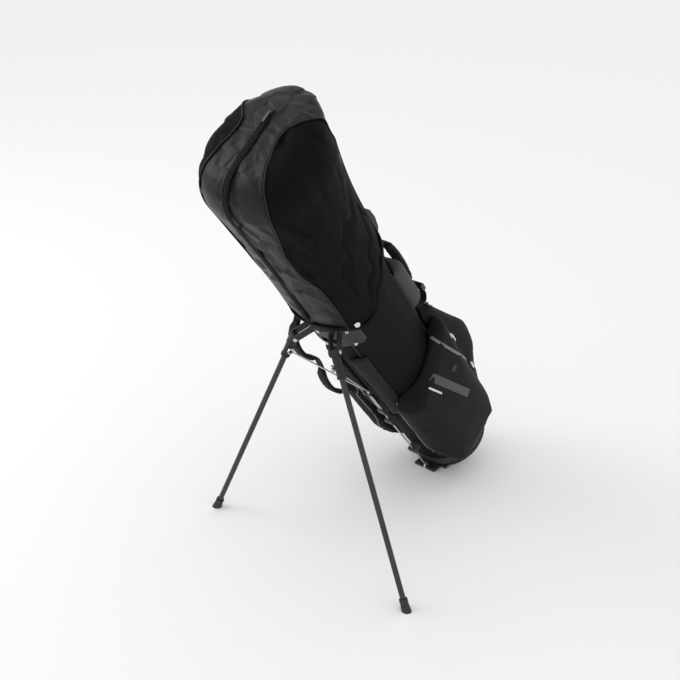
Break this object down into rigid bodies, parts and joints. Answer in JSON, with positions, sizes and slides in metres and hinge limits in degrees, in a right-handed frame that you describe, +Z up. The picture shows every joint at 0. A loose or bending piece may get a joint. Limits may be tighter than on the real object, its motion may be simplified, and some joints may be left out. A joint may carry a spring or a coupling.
{
  "type": "golf club set",
  "caption": "Golf clubs in a stand bag that leans on splayed folding legs worked by wires and a heel pedal, with divided mouth, zipped pockets, carrying straps and a lift-off rain hood.",
  "frame": {"origin": "on the rubber sole's sloping heel face that rests on the ground, in the middle plane, 3 mm ahead of the heel's edge", "axes": "+Z up from the ground, +X to the bag's right when seen from its spine side, +Y away from the legs; the bag leans towards -Y"},
  "size_m": [0.6284, 0.879, 1.1236],
  "materials": {
    "body_nylon": "padded woven nylon, matt",
    "cuff_plastic": "moulded, satin",
    "divider_fleece": "fleece over foam",
    "stay_fibre": "drawn glass fibre rod",
    "base_plastic": "moulded, fine grain",
    "sole_rubber": "treaded",
    "pedal_plastic": "moulded",
    "zinc_steel": "zinc plated",
    "bracket_nylon": "glass filled nylon, satin",
    "leg_alloy": "dark anodised tube",
    "boot_rubber": "ribbed",
    "wire_steel": "drawn wire",
    "clip_plastic": "moulded",
    "pocket_nylon": "coated woven nylon",
    "grey_nylon": "woven nylon with pale piping",
    "slider_metal": "white enamel",
    "handle_plastic": "soft touch moulding",
    "strap_mesh": "spacer mesh over foam",
    "webbing": "woven webbing",
    "buckle_plastic": "moulded",
    "ring_steel": "plated wire",
    "hood_nylon": "coated nylon, soft sheen and wrinkles",
    "zip_tape": "woven tape with coil",
    "snap_chrome": "polished",
    "head_composite": "lacquered",
    "shaft_graphite": "lacquered",
    "head_steel": "satin",
    "shaft_steel": "plated",
    "grip_rubber": "grooved"
  },
  "bodies": {
    "bag": {"bag_tube": "body_nylon", "top_cuff": "cuff_plastic", "cuff_dividers": "divider_fleece", "stay_rods": "stay_fibre", "base_cup": "base_plastic", "base_sole": "sole_rubber", "rocker_pin": "zinc_steel", "leg_bracket": "bracket_nylon", "bracket_screws": "zinc_steel", "hinge_pins": "zinc_steel", "rod_guides": "clip_plastic", "right_side_pocket": "pocket_nylon", "left_side_pocket": "pocket_nylon", "ball_pocket": "pocket_nylon", "valuables_pocket": "grey_nylon", "spine_handle": "handle_plastic", "shoulder_straps": "strap_mesh", "strap_webbing": "webbing", "strap_buckles": "buckle_plastic", "hip_pad": "strap_mesh", "belly_strap": "strap_mesh", "snap_studs": "snap_chrome"},
    "right_leg": {"right_leg_knuckle": "bracket_nylon", "right_leg_tube": "leg_alloy", "right_leg_boot": "boot_rubber"},
    "left_leg": {"left_leg_knuckle": "bracket_nylon", "left_leg_tube": "leg_alloy", "left_leg_boot": "boot_rubber"},
    "actuator": {"push_rod": "wire_steel", "rod_clip": "clip_plastic", "wire_yoke": "clip_plastic"},
    "right_arm": {"right_wire_arm": "wire_steel"},
    "left_arm": {"left_wire_arm": "wire_steel"},
    "rocker": {"base_rocker": "pedal_plastic"},
    "hood": {"rain_hood": "hood_nylon", "hood_zip": "zip_tape", "hood_snaps": "snap_chrome"},
    "hood_slider": {"hood_zip_slider": "slider_metal"},
    "ball_slider": {"ball_zip_slider": "slider_metal"},
    "right_slider": {"right_zip_slider": "slider_metal"},
    "left_slider": {"left_zip_slider": "slider_metal"},
    "ring": {"towel_ring": "ring_steel"},
    "driver": {"driver_head": "head_composite", "driver_shaft": "shaft_graphite", "driver_grip": "grip_rubber"},
    "wood": {"wood_head": "head_composite", "wood_shaft": "shaft_graphite", "wood_grip": "grip_rubber"},
    "hybrid": {"hybrid_head": "head_composite", "hybrid_shaft": "shaft_graphite", "hybrid_grip": "grip_rubber"},
    "iron": {"iron_head": "head_steel", "iron_shaft": "shaft_steel", "iron_grip": "grip_rubber"},
    "wedge": {"wedge_head": "head_steel", "wedge_shaft": "shaft_steel", "wedge_grip": "grip_rubber"},
    "putter": {"putter_head": "head_steel", "putter_shaft": "shaft_steel", "putter_grip": "grip_rubber"}
  },
  "joints": [
    {"name": "right_leg_hinge", "type": "hinge", "parent": "bag", "child": "right_leg", "pos_m": [0.06, -0.49055, 0.55341], "axis": [0.8339, 0.4408, 0.3322], "range_deg": [0, 46.26]},
    {"name": "left_leg_hinge", "type": "hinge", "parent": "bag", "child": "left_leg", "pos_m": [-0.06, -0.49055, 0.55341], "axis": [0.8339, -0.4408, -0.3322], "range_deg": [0, 46.26]},
    {"name": "push_rod_slide", "type": "slide", "parent": "bag", "child": "actuator", "axis": [0, -0.6018, 0.7986], "range_m": [-0.01622, 0]},
    {"name": "right_arm_pivot", "type": "hinge", "parent": "actuator", "child": "right_arm", "pos_m": [0.008, -0.30713, 0.3548], "axis": [0.8253, 0.4807, 0.2963], "range_deg": [-5.47, 0]},
    {"name": "left_arm_pivot", "type": "hinge", "parent": "actuator", "child": "left_arm", "pos_m": [-0.008, -0.30713, 0.3548], "axis": [0.8253, -0.4807, -0.2963], "range_deg": [-5.47, 0]},
    {"name": "rocker_hinge", "type": "hinge", "parent": "bag", "child": "rocker", "pos_m": [0, -0.01319, 0.005], "axis": [1, 0, 0], "range_deg": [0, 37]},
    {"name": "hood_lift", "type": "slide", "parent": "bag", "child": "hood", "axis": [0, -0.6018, 0.7986], "range_m": [0, 0.44]},
    {"name": "hood_zip_slide", "type": "slide", "parent": "hood", "child": "hood_slider", "axis": [0, -0.7986, -0.6018], "range_m": [0, 0.06]},
    {"name": "right_pocket_zip_slide", "type": "slide", "parent": "bag", "child": "right_slider", "axis": [0, 0.6018, -0.7986], "range_m": [0, 0.14]},
    {"name": "left_pocket_zip_slide", "type": "slide", "parent": "bag", "child": "left_slider", "axis": [0, 0.6018, -0.7986], "range_m": [0, 0.14]},
    {"name": "ball_pocket_zip_slide", "type": "slide", "parent": "bag", "child": "ball_slider", "axis": [0, -0.6018, 0.7986], "range_m": [0, 0.05]},
    {"name": "towel_ring_swing", "type": "hinge", "parent": "bag", "child": "ring", "pos_m": [0.062, -0.15959, 0.54826], "axis": [1, 0, 0], "range_deg": [0, 60]},
    {"name": "driver_draw", "type": "slide", "parent": "bag", "child": "driver", "axis": [0, -0.6018, 0.7986], "range_m": [0, 0.03]},
    {"name": "wood_draw", "type": "slide", "parent": "bag", "child": "wood", "axis": [0, -0.6018, 0.7986], "range_m": [0, 0.008]},
    {"name": "hybrid_draw", "type": "slide", "parent": "bag", "child": "hybrid", "axis": [0, -0.6018, 0.7986], "range_m": [0, 0.008]},
    {"name": "iron_draw", "type": "slide", "parent": "bag", "child": "iron", "axis": [0, -0.6018, 0.7986], "range_m": [0, 0.008]},
    {"name": "wedge_draw", "type": "slide", "parent": "bag", "child": "wedge", "axis": [0, -0.6018, 0.7986], "range_m": [0, 0.02]},
    {"name": "putter_draw", "type": "slide", "parent": "bag", "child": "putter", "axis": [0, -0.6018, 0.7986], "range_m": [0, 0.03]}
  ],
  "couplings": [
    {"joint": "left_leg_hinge", "follows": "right_leg_hinge", "ratio": 1},
    {"joint": "push_rod_slide", "follows": "right_leg_hinge", "m_per_rad": -0.020091},
    {"joint": "right_arm_pivot", "follows": "right_leg_hinge", "ratio": -0.11823},
    {"joint": "left_arm_pivot", "follows": "right_leg_hinge", "ratio": -0.11823},
    {"joint": "rocker_hinge", "follows": "right_leg_hinge", "ratio": 0.7998}
  ]
}
